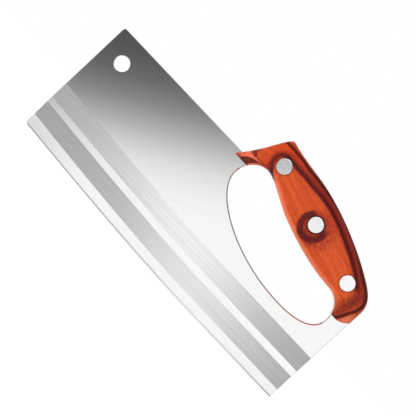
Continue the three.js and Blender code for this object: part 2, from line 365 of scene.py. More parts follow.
class Graph:
    """Builds one node tree, a node to a call."""

    def __init__(self, tree):
        self.tree = tree
        self.tree.nodes.clear()

    def add(self, kind, inputs=None, output=0, **settings):
        """One output of a new node, given its inputs as sockets or plain values."""
        node = self.tree.nodes.new("ShaderNode" + kind)
        for name, value in settings.items():
            setattr(node, name, value)
        for key, value in (inputs or {}).items():
            if isinstance(value, bpy.types.NodeSocket):
                self.tree.links.new(value, node.inputs[key])
            else:
                node.inputs[key].default_value = value
        return node.outputs[output]

    def math(self, operation, a, b=0.0):
        return self.add("Math", {0: a, 1: b}, operation=operation)

    def times(self, first, *others):
        for other in others:
            first = self.math("MULTIPLY", first, other)
        return first

    def mix(self, share, a, b, blend="MIX"):
        return self.add("Mix", {0: share, 6: a, 7: b}, 2, data_type="RGBA", blend_type=blend)

    def step(self, value, low, high, start=0.0, end=1.0):
        """A smooth step from start to end as the value goes from low to high."""
        return self.add("MapRange", {0: value, 1: low, 2: high, 3: start, 4: end},
                        interpolation_type="SMOOTHSTEP")

    def within(self, value, start, full, full_end, end):
        """An amount that is full between two values and falls off to nothing outside."""
        return self.times(self.step(value, end, full_end), self.step(value, start, full))

    def ramp(self, value, stops):
        """Colours that run from stop to stop as the value goes from 0 to 1."""
        node = self.tree.nodes.new("ShaderNodeValToRGB")
        elements = node.color_ramp.elements
        while len(elements) < len(stops):
            elements.new(0.5)
        for element, (place, colour) in zip(elements, stops):
            element.position = place
            element.color = colour
        self.tree.links.new(value, node.inputs[0])
        return node.outputs[0]

    def noise(self, vector, scale, detail, roughness=0.5):
        return self.add("TexNoise", {"Vector": vector, "Scale": scale, "Detail": detail,
                                     "Roughness": roughness})

    def grain(self, vector, scales, detail, roughness, tilt=0.0):
        """Noise drawn out by a scale for each axis, once the vector is turned about Y."""
        tilted = self.add("VectorRotate", {"Vector": vector, "Angle": tilt},
                          rotation_type="Y_AXIS")
        drawn = self.add("VectorMath", {0: tilted, 1: scales}, operation="MULTIPLY")
        return self.noise(drawn, 1, detail, roughness)

    def axis(self, vector, index):
        return self.add("SeparateXYZ", {0: vector}, index)

    def millimetres(self):
        """The place on the object, in millimetres."""
        place = self.add("TexCoord", output=3)
        return self.add("VectorMath", {0: place, "Scale": 1 / MM}, operation="SCALE")

    def bump(self, height, distance):
        """Normals of a relief whose height of 1 stands for the distance in metres."""
        return self.add("Bump", {"Height": height, "Distance": distance})

    def surface(self, inputs):
        self.add_output(self.add("BsdfPrincipled", inputs))

    def metal(self, shades, roughness, relief, distance, inputs=None):
        """Bare metal with a relief, between two greys by the share that leads shades."""
        share, dark, pale = shades
        self.surface({"Base Color": self.mix(share, grey(dark), grey(pale)), "Metallic": 1.0,
                      "Roughness": roughness, "Normal": self.bump(relief, distance),
                      **(inputs or {})})

    def add_output(self, shader):
        node = self.tree.nodes.new("ShaderNodeOutputMaterial")
        self.tree.links.new(shader, node.inputs["Surface"])


def srgb(red, green, blue):
    """A colour given in 0 to 255 as linear light."""
    def linear(value):
        value /= 255
        return value / 12.92 if value <= 0.04045 else ((value + 0.055) / 1.055) ** 2.4
    return (linear(red), linear(green), linear(blue), 1)


def wood_colour(name):
    return srgb(*WOOD_COLOURS[name])


def grey(level):
    return (level, level, level, 1)


def new_material(name, graph=Graph):
    material = bpy.data.materials.new(name)
    material.use_nodes = True
    return material, graph(material.node_tree)


# ------------ materials

def polished_steel():
    """Mirror-polished stainless steel with a faint cloudiness and hair-fine marks."""
    material, g = new_material("polished_steel")
    place = g.millimetres()
    hair = g.grain(place, (0.08, 1, 3.2), 2, 0.6, HAIR_TILT)
    roughness = g.math("ADD", g.times(g.noise(place, 0.05, 2), 0.03), 0.05)
    g.metal((g.step(hair, 0.35, 0.75), 0.652, 0.668), roughness, hair, 3e-7)
    return material


def brushed_steel(name, brush_turn, shade):
    """Steel ground lengthways, with streaks that follow the blade."""
    material, g = new_material(name)
    place = g.millimetres()
    coarse = g.grain(place, (0.012, 0.3, 1.3), 3, 0.65)
    fine = g.grain(place, (0.03, 1, 5.5), 2, 0.6)
    streaks = g.math("ADD", g.times(coarse, 0.6), g.times(fine, 0.4))
    tangent = g.add("Tangent", direction_type="RADIAL", axis="X")
    # The shade darkens the steel's colour: painted shade for how bright the band's reflection
    # looks.
    g.metal((g.step(streaks, 0.32, 0.68), 0.6 * shade, 0.74 * shade),
            g.step(streaks, 0.3, 0.7, 0.32, 0.36), streaks, 4e-6,
            {"Anisotropic": 1.0, "Anisotropic Rotation": brush_turn, "Tangent": tangent})
    return material


def bright_steel():
    """The honed bevel and the strip between the brushed bands."""
    material, g = new_material("bright_steel")
    hone = g.grain(g.millimetres(), (0.05, 1, 2.6), 2, 0.6)
    g.metal((g.step(hone, 0.3, 0.7), 0.655, 0.69), g.step(hone, 0.3, 0.7, 0.1, 0.14), hone,
            1.5e-6)
    return material


def rivet_steel():
    """Satin heads, sanded flush in one direction."""
    material, g = new_material("rivet_steel")
    place = g.millimetres()
    sanded = g.grain(place, (0.25, 1, 5), 3, 0.6, GRAIN_TILT)
    cloud = g.noise(place, 0.35, 2)
    g.metal((g.step(sanded, 0.3, 0.7), 0.65, 0.69), g.step(cloud, 0.3, 0.7, 0.09, 0.12),
            sanded, 1e-6)
    return material


class Wood(Graph):
    """The grip's wood: its noises, and the distances that its mesh carries, in millimetres."""

    def __init__(self, tree):
        super().__init__(tree)
        place = self.millimetres()
        self.x = self.math("SUBTRACT", self.axis(place, 0), FRONT_X)
        self.z = self.axis(place, 2)
        self.height = self.math("ABSOLUTE", self.axis(place, 1))
        self.fibres = self.grain(place, (0.09, 0.8, 2.8), 4, 0.65, GRAIN_TILT)
        self.hatch = self.grain(place, (0.32, 0.9, 1.5), 2, 0.6, GRAIN_TILT)
        self.pores = self.grain(place, (0.24, 0.9, 2.6), 1, 0.5, GRAIN_TILT)
        self.broad = self.grain(place, (0.02, 0.3, 0.4), 3, 0.5, GRAIN_TILT)
        self.streaks = self.step(self.hatch, 0.4, 0.62)
        self.wobble = self.swing(self.noise(place, 0.16, 3, 0.6), 2.4)
        self.shake = self.math("ADD", self.wobble, self.swing(self.fibres, 2.2))
        self.depth = self.shaken("growth_inner", 0.5)
        self.rim = self.shaken("growth_outer", 0.3)
        self.knot_depth = self.shaken("knot_radius", 0.55)

    def swing(self, noise, width):
        """Noise as a shift to either side, this wide in all."""
        return self.times(self.math("SUBTRACT", noise, 0.5), width)

    def attribute(self, name):
        return self.add("Attribute", output=2, attribute_name=name)

    def shaken(self, name, share):
        """A distance from the mesh, made uneven by a share of the shake."""
        return self.math("ADD", self.attribute(name), self.times(self.shake, share))

    def streaky(self, low, rise):
        """An amount that goes up in the dark streaks."""
        return self.math("ADD", low, self.times(self.streaks, rise))

    def along(self, low, high, start=0, end=1):
        """A smooth step along the grip."""
        return self.step(self.x, low, high, start, end)

    def tint(self, colour, amount, share, name):
        return self.mix(self.times(amount, share), colour, wood_colour(name))


# Each layer of the wood takes the colour so far and gives the next one.

def wood_ground(g):
    """Orange wood in broad patches, streaked, with a painted highlight along the finger side.
    """
    colour = g.mix(g.step(g.broad, 0.3, 0.7), wood_colour("ground"), wood_colour("pale_ground"))
    colour = g.tint(colour, g.step(g.fibres, 0.42, 0.7), 0.45, "fibre")
    colour = g.tint(colour, g.streaks, 0.2, "streak")
    colour = g.tint(colour, g.step(g.pores, 0.5, 0.62), 0.34, "streak")
    # Painted highlight: pale pink along the rounded edge on the finger side, where it would
    # catch the light.
    edge = g.times(g.step(g.attribute("inner_edge"), 3.2, 0.4), g.along(196, 206, 0.5, 0.1),
                   g.along(114, 122, 0.15, 1))
    return g.tint(colour, edge, 1, "inner_edge")


def outer_band_and_shade(g, colour):
    """The darker band outside the inner growth line, the more so to the rear: partly the wood's
    dark layers, partly painted shade of the outer rounding.
    """
    flow = g.add("CombineXYZ", {0: g.times(g.x, 0.05), 1: 0.0,
                                2: g.times(g.attribute("growth_inner"), 1.3)})
    layers = g.step(g.noise(flow, 1, 3, 0.6), 0.38, 0.62)
    band_colour = g.mix(g.along(116, 164), wood_colour("outer_band_front"), wood_colour("outer_band_rear"))
    band_colour = g.tint(band_colour, layers, 0.35, "outer_band_layer")
    # Painted shade in part: the band darkens the rounding towards the outer edge, besides the
    # wood's dark layers.
    band = g.times(g.step(g.depth, 0.6, -1), g.along(110, 123, 0.1, 0.9),
                   g.step(g.rim, -0.8, 0.3, 0.45, 1), g.step(g.z, 70, 84, 0.25, 1))
    return g.mix(band, colour, band_colour)


def growth_lines(g, colour):
    """Both dark lines, with a darkening and a soft halo outside the inner one."""
    halo = g.times(g.within(g.depth, -5, -0.8, -0.5, 0.5), g.streaky(0.35, 0.45))
    colour = g.tint(colour, halo, g.along(200, 209, 1, 0.3), "halo")
    outer_line_darkening = g.within(g.depth, -3.8, -0.6, -0.5, 0.5)
    colour = g.tint(colour, outer_line_darkening, g.along(150, 209, 0.65, 0.3), "outer_line_darkening")
    bloom = g.times(g.step(g.depth, 5.5, 1.6), g.streaky(0.2, 0.25))
    colour = g.tint(colour, bloom, g.along(135, 165, 0.3, 1), "bloom")
    crisp = g.times(g.along(207, 212, 1, 0), g.along(117.5, 122, 0.75, 1))
    inner = g.times(g.within(g.depth, -1.9, -0.3, 0.6, 2.2), crisp)
    colour = g.tint(colour, inner, 0.93, "inner_line")
    return g.tint(colour, g.within(g.rim, -1.5, -0.5, 0.5, 1.5), 0.93, "rim_line")


def rear_foot(g, colour):
    """A soft painted shade on the rear foot, broken up by the fibres, and a pale outermost
    corner.
    """
    above = g.math("SUBTRACT", g.z, REAR_SHADE["z"])
    middle = g.math("ADD", REAR_SHADE["x"], g.times(above, REAR_SHADE["lean"]))
    across = g.math("DIVIDE", g.math("SUBTRACT", g.x, middle), REAR_SHADE["half_width"])
    along = g.math("DIVIDE", above, REAR_SHADE["half_height"])
    reach = g.math("SQRT", g.math("ADD", g.times(across, across), g.times(along, along)))
    reach = g.math("ADD", reach, g.times(g.shake, 0.22))
    patch = g.times(g.step(reach, 1.35, 0.3), g.streaky(0.45, 0.55), g.step(g.rim, -0.4, 0.4))
    colour = g.tint(colour, patch, 0.85, "rear_shade")
    corner = g.times(g.step(g.rim, -0.8, -2.2), g.step(g.z, 73, 66))
    return g.tint(colour, corner, 0.45, "pale_foot")


def front_foot(g, colour):
    """Pale below a short dark line, a painted highlight on the horn's lit facet, and the dark
    layer that its scoop lays bare, partly painted shade.
    """
    # Painted highlight on the horn's lit facet below the horn line.
    foot = g.times(g.step(g.z, 93.5, 91.5), g.along(115, 110))
    colour = g.tint(colour, foot, g.along(101.5, 105, 0.1, 0.4), "pale_foot")
    thinned = g.math("ADD", g.shaken("horn_line", 0.2), g.along(108.2, 111, -0.7, 0.1))
    horn = g.times(g.step(thinned, 1.2, 0.2), g.along(108.5, 112, 0.85, 0.55),
                   g.step(g.height, 2.5, 8.5, 0.2, 1))
    colour = g.tint(colour, horn, 1, "horn_line")
    sole = g.times(g.step(g.z, 86.4, 85.4), g.within(g.x, 100.5, 102, 110, 112))
    colour = g.tint(colour, sole, 0.6, "sole")
    # The scoop's dark crescent: partly a dark layer laid bare, partly painted shade of the
    # scooped facet.
    rim = DARK_LAYER["rim"]
    bared_and_shaded = g.times(g.step(g.attribute("dark_layer"), -0.25, 0.4),
                    g.step(g.attribute("inner_edge"), rim - 0.4, rim + 0.3))
    return g.tint(colour, bared_and_shaded, 0.93, "bared_layer_and_shade")


def knot(g, colour):
    """The ring round the middle rivet, open towards the back of the grip."""
    opened = g.attribute("knot_open")
    to_rear = g.times(g.math("SUBTRACT", g.x, KNOT["x"]), 0.3)
    glow = g.times(g.step(g.math("SUBTRACT", g.knot_depth, to_rear), 13, 8.5),
                   g.streaky(0.22, 0.6))
    colour = g.tint(colour, glow, 1, "knot_glow")
    heart = g.times(g.step(g.knot_depth, 8.6, 6.4), opened)
    colour = g.tint(colour, heart, 0.85, "knot_heart")
    ring = g.times(g.within(g.knot_depth, 5.2, 6.9, 8.9, 10.7), g.streaky(0.9, 0.1), opened)
    return g.tint(colour, ring, 0.96, "knot_ring")


def rivet_rim_shadows(g, colour):
    """A painted shadow in a dark line round each rivet head, heaviest near the knot."""
    rim_shadow = g.step(g.attribute("rivet_gap"), 1.1, 0.5)
    return g.tint(colour, rim_shadow, g.step(g.knot_depth, 9, 7.5, 0.35, 0.9), "rivet_rim_shadow")


def glue_layers(g, colour):
    """Layers of the laminate, which show where the wood is cut across on its sides."""
    place = g.math("ADD", g.times(g.height, 0.74), g.times(g.wobble, 0.05))
    glue = g.times(g.step(g.math("PINGPONG", place, 0.5), 0.1, 0), g.step(g.height, 10.6, 8))
    return g.tint(colour, glue, 0.5, "glue")


def grip_wood():
    """Orange-red laminated wood with dark growth lines, a knot ring, painted highlights and
    shade, and a lacquer coat.
    """
    material, g = new_material("grip_wood", Wood)
    colour = wood_ground(g)
    for layer in (outer_band_and_shade, growth_lines, rear_foot, front_foot, knot, rivet_rim_shadows,
                  glue_layers):
        colour = layer(g, colour)
    relief = g.math("ADD", g.fibres, g.times(g.hatch, -0.4))
    g.surface({"Base Color": colour, "Roughness": g.step(g.fibres, 0.3, 0.7, 0.34, 0.46),
               "Specular IOR Level": 0.08, "Coat Weight": 0.05, "Coat Roughness": 0.12,
               "Normal": g.bump(relief, 3e-5)})
    return material


# ------------ blade

def sweep(x):
    """How far the edge and the grind lines have risen here, from 0 to 1 at the front end."""
    return np.maximum(0, 1 - x / SWEEP_LENGTH) ** SWEEP_POWER


def heel_x(z):
    """The heel runs straight from the cutting edge to the grip's rear foot."""
    return HEEL_X + (REAR_FOOT_BACK[0] - HEEL_X) * z / REAR_FOOT_BACK[1]


def edge_z(x):
    """Height of the cutting edge, rounded up at the front corner."""
    swept = EDGE_SWEEP * sweep(x)
    t = 1 - np.sqrt(np.clip(x / TIP_CORNER, 0, 1))
    foot = EDGE_SWEEP * sweep(TIP_CORNER)
    top = EDGE_SWEEP + TIP_CORNER
    rounded = (1 - t) ** 2 * foot + 2 * t * (1 - t) * EDGE_SWEEP + t * t * top
    return np.where(x < TIP_CORNER, rounded, swept)


def half_thickness(x, z):
    """Half of the steel's thickness at a point of the grind."""
    lift = sweep(x)
    heights = [EDGE_SWEEP * lift]
    heights += [grind["height"] + grind["rise"] * lift for grind in GRIND_LINES]
    halves = [EDGE_HALF] + [grind["half"] for grind in GRIND_LINES]
    return np.interp(z, heights, halves)


def grind_rows():
    """Rows of (height function, material of the band above the row) from the edge up."""
    rows = []
    low = edge_z
    for grind in GRIND_LINES:
        def high(x, grind=grind):
            return grind["height"] + grind["rise"] * sweep(x)
        for i in range(grind["rows"]):
            def row(x, low=low, high=high, share=i / grind["rows"]):
                return low(x) * (1 - share) + high(x) * share
            rows.append((row, grind["under"]))
        low = high
    rows.append((low, None))
    return rows


def column_x(column, z, chamfer):
    """Place of a column along the blade: ends, chamfers, then close steps at the corner."""
    heel = heel_x(z)
    if column == 0:
        return 0.0
    if column == BLADE_COLUMNS:
        return heel
    share = (column - 1) / (BLADE_COLUMNS - 2)
    reach, pace = CLOSE_COLUMNS["reach"], CLOSE_COLUMNS["pace"]
    eased = share * (pace + (1 - pace) * smoothstep(0, reach, share))
    return chamfer + (heel - 2 * chamfer) * (eased if share < 1 else 1)


def blade_grind(verts, faces, bands):
    """The tapered lower part of the blade, both sides, its ends and its cutting edge.

    Gives the points of its top row. A column's x depends on z at the slanted heel, and a
    row's z on x, so both are worked out in turns until they settle.
    """
    rows = grind_rows()
    grid = {}
    for r, (row, _) in enumerate(rows):
        for c in range(BLADE_COLUMNS + 1):
            x, z = 0.0, 0.0
            for _ in range(SETTLING_ROUNDS):
                z = row(x)
                x = column_x(c, z, FREE_CHAMFER)
            z = row(x)
            half = half_thickness(x, z)
            if c in (0, BLADE_COLUMNS):
                half -= min(FREE_CHAMFER, THIN_CHAMFER_SHARE * half)
            for side in (-1, 1):
                grid[r, c, side] = len(verts)
                verts.append((x, side * half, z))
    for r in range(len(rows) - 1):
        for side in (-1, 1):
            for c in range(BLADE_COLUMNS):
                faces.append((grid[r, c, side], grid[r, c + 1, side],
                              grid[r + 1, c + 1, side], grid[r + 1, c, side]))
                bands.append(rows[r][1])
        for c in (0, BLADE_COLUMNS):
            faces.append((grid[r, c, -1], grid[r, c, 1], grid[r + 1, c, 1],
                          grid[r + 1, c, -1]))
            bands.append(POLISHED)
    for c in range(BLADE_COLUMNS):
        faces.append((grid[0, c, -1], grid[0, c + 1, -1], grid[0, c + 1, 1], grid[0, c, 1]))
        bands.append(BRIGHT)
    top = len(rows) - 1
    return [verts[grid[top, c, 1]] for c in range(BLADE_COLUMNS + 1)]


def plate_edge(top):
    """The plate's free outline above the grind, from the front end round to the heel."""
    steps = PLATE_STEPS
    front = line((0, top[0][2]), (0, SPINE_HEIGHT - SPINE_CORNER), steps["front"])
    corner = quadratic(front[-1], (0, SPINE_HEIGHT, SPINE_CORNER, SPINE_HEIGHT),
                       steps["corner"])
    spine = line(corner[-1], SPINE_END, steps["spine"])[1:]
    back = follow(SPINE_END, GRIP_BACK)[1:]
    foot = line(back[-1], REAR_FOOT_BACK, steps["foot"])[1:]
    heel = line(REAR_FOOT_BACK, (top[-1][0], top[-1][2]), steps["heel"])[1:]
    return np.concatenate([front, corner, spine, back, foot, heel])


def opening_edge():
    """The closed outline of the finger opening."""
    under = follow(OPENING_START, OPENING_UNDER_GRIP)
    over = follow(under[-1], OPENING_OVER_BLADE)
    return np.concatenate([under, over[1:-1]])


def circle(x, z, radius):
    turn = np.arange(ROUND_STEPS) * 2 * math.pi / ROUND_STEPS
    return np.stack([x + radius * np.cos(turn), z + radius * np.sin(turn)], 1)


def rivet_centres():
    """Where the CAD has the rivets, in blade coordinates."""
    centres = []
    for i in range(RIVET_COUNT):
        low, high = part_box(f"rivet_socket_{i + 1}")
        middle = (low + high) / 2 / MM
        centres.append((middle.x - FRONT_X, middle.z))
    return centres


def add_rim(verts, faces, bands, loop, inner, widths, closed=True):
    """The wall of a cut through the plate, with a chamfer to each face."""
    count = len(loop)
    face, wall = np.full(count, STEEL_HALF), STEEL_HALF - widths
    rings = []
    for points, depths in ((inner, -face), (loop, -wall), (loop, wall), (inner, face)):
        rings.append(len(verts))
        verts.extend((p[0], y, p[1]) for p, y in zip(points, depths))
    for a, b in zip(rings, rings[1:]):
        for i in range(count if closed else count - 1):
            j = (i + 1) % count
            faces.append((a + i, a + j, b + j, b + i))
            bands.append(POLISHED)


def fill_plate(outer, holes):
    """Triangles that fill the plate's flat face."""
    loops = [outer, *holes]
    points = np.concatenate(loops)
    edges, start = [], 0
    for loop in loops:
        count = len(loop)
        edges += [(start + i, start + (i + 1) % count) for i in range(count)]
        start += count
    found = delaunay_2d_cdt([Vector(p) for p in points], edges, [], 0, FILL_PRECISION)
    placed = np.array([tuple(v) for v in found[0]])
    triangles = np.array([list(f) for f in found[2]])
    middle = placed[triangles].mean(1)
    keep = inside(middle, outer)
    for hole in holes:
        keep &= ~inside(middle, hole)
    return placed, triangles[keep]


def blade(materials):
    """The whole plate: the grind, the walls of the outline and the holes, and the flats."""
    verts, faces, bands = [], [], []
    top = blade_grind(verts, faces, bands)
    first_rim = len(faces)

    edge = plate_edge(top)
    covered = (smoothstep(*COVERED_BY_GRIP["x"], edge[:, 0])
               * smoothstep(*COVERED_BY_GRIP["z"], edge[:, 1]))
    widths = FREE_CHAMFER + (HIDDEN_CHAMFER - FREE_CHAMFER) * covered
    run = np.array([(p[0], p[2]) for p in top[1:-1]])
    whole = np.concatenate([edge, run[::-1]])
    moved = offset_loop(whole, np.concatenate([widths, np.zeros(len(run))]), True)
    inner = moved[:len(edge)]
    inner[0], inner[-1] = run[0], run[-1]
    add_rim(verts, faces, bands, edge, inner, widths, closed=False)

    opening = opening_edge()
    free = np.arange(len(opening)) >= CURVE_STEPS * len(OPENING_UNDER_GRIP)
    open_widths = np.where(free, OPENING_CHAMFER, HIDDEN_CHAMFER)
    hang = circle(HANG_HOLE["x"], HANG_HOLE["z"], HANG_HOLE["radius"])
    loops = [(opening, open_widths), (hang, np.full(len(hang), FREE_CHAMFER))]
    for x, z in rivet_centres():
        hole = circle(x, z, SOCKET_RADIUS + RIVET_CLEARANCE)
        loops.append((hole, np.full(len(hole), HIDDEN_CHAMFER)))
    holes = []
    for loop, loop_widths in loops:
        wider = offset_loop(loop, loop_widths, False)
        add_rim(verts, faces, bands, loop, wider, loop_widths)
        holes.append(wider)
    past_rims = len(faces)

    placed, triangles = fill_plate(np.concatenate([inner, run[::-1][1:-1]]), holes)
    for side in (-1, 1):
        first = len(verts)
        verts.extend((p[0], side * STEEL_HALF, p[1]) for p in placed)
        faces.extend(tuple(first + t) for t in triangles)
        bands.extend([POLISHED] * len(triangles))
    smooth = [first_rim <= i < past_rims for i in range(len(faces))]
    piece = new_piece("cleaver_blade", "blade", to_frame(verts), faces,
                      materials, bands, smooth)
    # Marking the sharp edges makes every face smooth, so the flat ones are set back.
    shading = [polygon.use_smooth for polygon in piece.data.polygons]
    piece.data.set_sharp_from_angle(angle=BLADE_CREASE)
    piece.data.polygons.foreach_set("use_smooth", shading)


# ------------ grip

def inner_edge():
    """The grip's edge on the finger side, from the front foot to the rear foot."""
    edge = follow(OPENING_START, OPENING_UNDER_GRIP)
    return np.concatenate([edge, cubic(edge[-1], REAR_FOOT_FROM_OPENING, CURVE_STEPS)])


def outer_curves(steps):
    """Points on each curve of the outer edge, in its number of steps."""
    curves = [line(HORN_TIP, SPINE_END, steps[0])]
    for curve, count in zip(GRIP_BACK, steps[1:]):
        start = curves[-1][-1]
        curves.append(np.concatenate([[start], cubic(start, curve, count)]))
    curves.append(line(curves[-1][-1], REAR_FOOT_BACK, steps[-2]))
    foot = quadratic(REAR_FOOT_BACK, REAR_FOOT_FROM_BACK, FOOT_CURVE_STEPS)
    foot = np.concatenate([[REAR_FOOT_BACK], foot])
    reach = np.linspace(0, LAST_FOOT_SHARE, steps[-1] + 1) * FOOT_CURVE_STEPS
    curves.append(foot[reach.round().astype(int)])
    return curves


def at_share(path, share):
    """Points at these shares of the path's length."""
    length = np.concatenate([[0], np.cumsum(np.linalg.norm(np.diff(path, axis=0), axis=1))])
    place = np.asarray(share) * length[-1]
    return np.stack([np.interp(place, length, path[:, k]) for k in (0, 1)], 1)


def stations():
    """Matching points of the inner and outer edges, from the front foot to the rear foot."""
    steps = [count * STATION_FACTOR for _, count in SCALE_STRETCHES]
    shares, start = [0.0], 0.0
    outer = []
    for (end, _), count, curve in zip(SCALE_STRETCHES, steps, outer_curves(steps)):
        shares += list(start + (end - start) * np.arange(1, count + 1) / count)
        outer.append(curve if not outer else curve[1:])
        start = end
    return at_share(inner_edge(), shares), np.concatenate(outer)


def scale_height(points, inner, outer):
    """Height of the wood above the steel: a straight shoulder, rounded over to a flat side."""
    from_inner, _ = distance_to(points, inner)
    from_outer, _ = distance_to(points, outer)
    from_foot, _ = distance_to(points, np.array([inner[0], outer[0]]))
    past_horn = smoothstep(*HORN_END, points[:, 0])
    rounding = HORN_ROUNDING + (OUTER_ROUNDING - HORN_ROUNDING) * past_horn
    short = (np.clip(1 - from_inner / INNER_ROUNDING, 0, 1) ** 2
             + np.clip(1 - from_outer / rounding, 0, 1) ** 2
             + np.clip(1 - from_foot / FOOT_ROUNDING, 0, 1) ** 2)
    rise = SCALE_THICKNESS - SCALE_SHOULDER
    height = SCALE_SHOULDER + rise * np.sqrt(np.clip(1 - short, 0, 1))
    reach = np.hypot(points[:, 0] - SCOOP["x"], points[:, 1] - SCOOP["z"])
    scooped = SCALE_THICKNESS - SCOOP["fall"] * np.maximum(0, SCOOP["radius"] - reach)
    return np.where(points[:, 0] < SCOOP["end_x"], np.minimum(height, scooped), height)


def scale_mesh(side):
    """Vertices and faces of one grip scale, a closed skin over its cross-sections."""
    inner, outer = stations()
    across = (1 - np.cos(np.pi * np.arange(ACROSS_STEPS + 1) / ACROSS_STEPS)) / 2
    grid = inner[:, None] * (1 - across[None, :, None]) + outer[:, None] * across[None, :, None]
    points = grid.reshape(-1, 2)
    height = STEEL_HALF + scale_height(points, inner, outer)
    rows, columns = len(inner), ACROSS_STEPS + 1
    top = np.stack([points[:, 0], side * height, points[:, 1]], 1)
    bottom = np.stack([points[:, 0], np.full(len(points), side * STEEL_HALF), points[:, 1]], 1)
    verts = np.concatenate([top, bottom])
    shift = rows * columns

    def index(row, column, under=0):
        return under * shift + row * columns + column

    faces = []
    for row in range(rows - 1):
        for column in range(columns - 1):
            quad = [(row, column), (row + 1, column), (row + 1, column + 1), (row, column + 1)]
            faces.append([index(*q) for q in quad])
        for column in (0, columns - 1):
            faces.append([index(row, column), index(row + 1, column),
                          index(row + 1, column, 1), index(row, column, 1)])
        faces.append([index(row, 0, 1), index(row + 1, 0, 1),
                      index(row + 1, columns - 1, 1), index(row, columns - 1, 1)])
    for row in (0, rows - 1):
        faces.append([index(row, c) for c in range(columns)]
                     + [index(row, columns - 1, 1), index(row, 0, 1)])
    return verts, faces


def rivet_hole_profile():
    """Profile of the cutter that makes a rivet's stepped hole through both scales."""
    head = RIVET_HEAD_RADIUS + RIVET_CLEARANCE
    shank = SOCKET_RADIUS + RIVET_CLEARANCE
    seat = GRIP_HALF - RIVET_HEAD_THICKNESS
    beyond = GRIP_HALF + CUTTER_OVERRUN
    return [(0, -beyond), (head, -beyond), (head, -seat), (shank, -seat), (shank, seat),
            (head, seat), (head, beyond), (0, beyond)]


def cut_rivet_holes(piece):
    for centre in rivet_centres():
        verts, faces = turned(rivet_hole_profile(), centre)
        cutter = new_piece("cutter", None, to_frame(verts), faces, [])
        modifier = piece.modifiers.new("hole", "BOOLEAN")
        modifier.object = cutter
        modifier.operation = "DIFFERENCE"
        modifier.solver = "EXACT"
        bpy.context.view_layer.update()
        cut = bpy.data.meshes.new_from_object(
            piece.evaluated_get(bpy.context.evaluated_depsgraph_get()))
        piece.modifiers.clear()
        piece.data = cut
        bpy.data.objects.remove(cutter)
    weld(piece.data, SLIVER_REACH)


def store_distances(mesh):
    """Stores on each vertex its distance from the wood's lines, its knot and the rivets."""
    count = len(mesh.vertices)
    place = np.zeros(count * 3)
    mesh.vertices.foreach_get("co", place)
    place = place.reshape(-1, 3) / MM - [FRONT_X, 0, 0]
    points = place[:, [0, 2]]
    near, side = distance_to(points, smooth_through(GROWTH_LINE_INNER))
    outer_near, outer_side = distance_to(points, smooth_through(GROWTH_LINE_OUTER))
    from_knot = points - [KNOT["x"], KNOT["z"]]
    above = from_knot[:, 1] + KNOT["lean"] * from_knot[:, 0]
    from_layer = points - [DARK_LAYER["x"], DARK_LAYER["z"]]
    from_rivets = [np.hypot(*(points - centre).T) for centre in rivet_centres()]
    values = {
        "growth_inner": -near * side,
        "growth_outer": -outer_near * outer_side,
        "horn_line": distance_to(points, smooth_through(HORN_LINE))[0],
        "inner_edge": distance_to(points, inner_edge())[0],
        "dark_layer": DARK_LAYER["radius"] - np.hypot(from_layer[:, 0], from_layer[:, 1]),
        "knot_radius": np.hypot(from_knot[:, 0], from_knot[:, 1]),
        "knot_open": 1 - KNOT["open_share"] * smoothstep(*KNOT["opens"], above),
        "rivet_gap": np.min(from_rivets, axis=0) - RIVET_HEAD_RADIUS,
    }
    for name, value in values.items():
        layer = mesh.attributes.new(name, "FLOAT", "POINT")
        layer.data.foreach_set("value", value.astype(np.float32))


def grip_scale(name, node, side, wood):
    verts, faces = scale_mesh(side)
    piece = new_piece(name, node, to_frame(verts), faces, [wood])
    cut_rivet_holes(piece)
    piece.data.polygons.foreach_set("use_smooth", [True] * len(piece.data.polygons))
    piece.data.set_sharp_from_angle(angle=GRIP_CREASE)
    store_distances(piece.data)


# ------------ rivets

def rivet_edge(face, inwards):
    """Profile points of a head's softly broken edge, from its face outwards."""
    turn = np.linspace(0, math.pi / 2, RIVET_EDGE_STEPS)
    flat = (RIVET_HEAD_RADIUS - RIVET_EDGE_FLAT * RIVET_EDGE, face)
    return [flat] + [(RIVET_HEAD_RADIUS - RIVET_EDGE * (1 - math.sin(a)),
                      face + inwards * RIVET_EDGE * (1 - math.cos(a))) for a in turn]


def socket_profile():
    """The half on the side seen: a head with a tube."""
    face, seat = -GRIP_HALF, -GRIP_HALF + RIVET_HEAD_THICKNESS
    mouth = -seat - RIVET_END_GAP
    return [(0, face), *rivet_edge(face, 1), (RIVET_HEAD_RADIUS, seat), (SOCKET_RADIUS, seat),
            (SOCKET_RADIUS, mouth), (SOCKET_BORE_RADIUS, mouth), (SOCKET_BORE_RADIUS, seat),
            (0, seat)]


def pin_profile():
    """The half on the far side: a head with the pin that stands in the tube."""
    face, seat = GRIP_HALF, GRIP_HALF - RIVET_HEAD_THICKNESS
    end = -seat + RIVET_END_GAP
    return [(0, end), (PIN_RADIUS - PIN_CHAMFER, end), (PIN_RADIUS, end + PIN_CHAMFER),
            (PIN_RADIUS, seat), (RIVET_HEAD_RADIUS, seat), *reversed(rivet_edge(face, -1)),
            (0, face)]


def rivet_half(name, node, profile, centre, steel):
    verts, faces = turned(profile, centre)
    piece = new_piece(name, node, to_frame(verts), faces, [steel],
                      smooth=[True] * len(faces))
    piece.data.set_sharp_from_angle(angle=RIVET_CREASE)


# ------------ staging

VIEW_LENS = 200
SENSOR_WIDTH = 36
VIEW_WIDTH = 0.2483
VIEW_AIM = (0.0022, 0, 0.0507)
VIEW_ROLL = math.radians(46.66)
VIEW_CLIP = (0.05, 20)

FLOOR_REACH = 10
FLOOR_COLOUR = 0.86
FLOOR_GLOW = 0.42

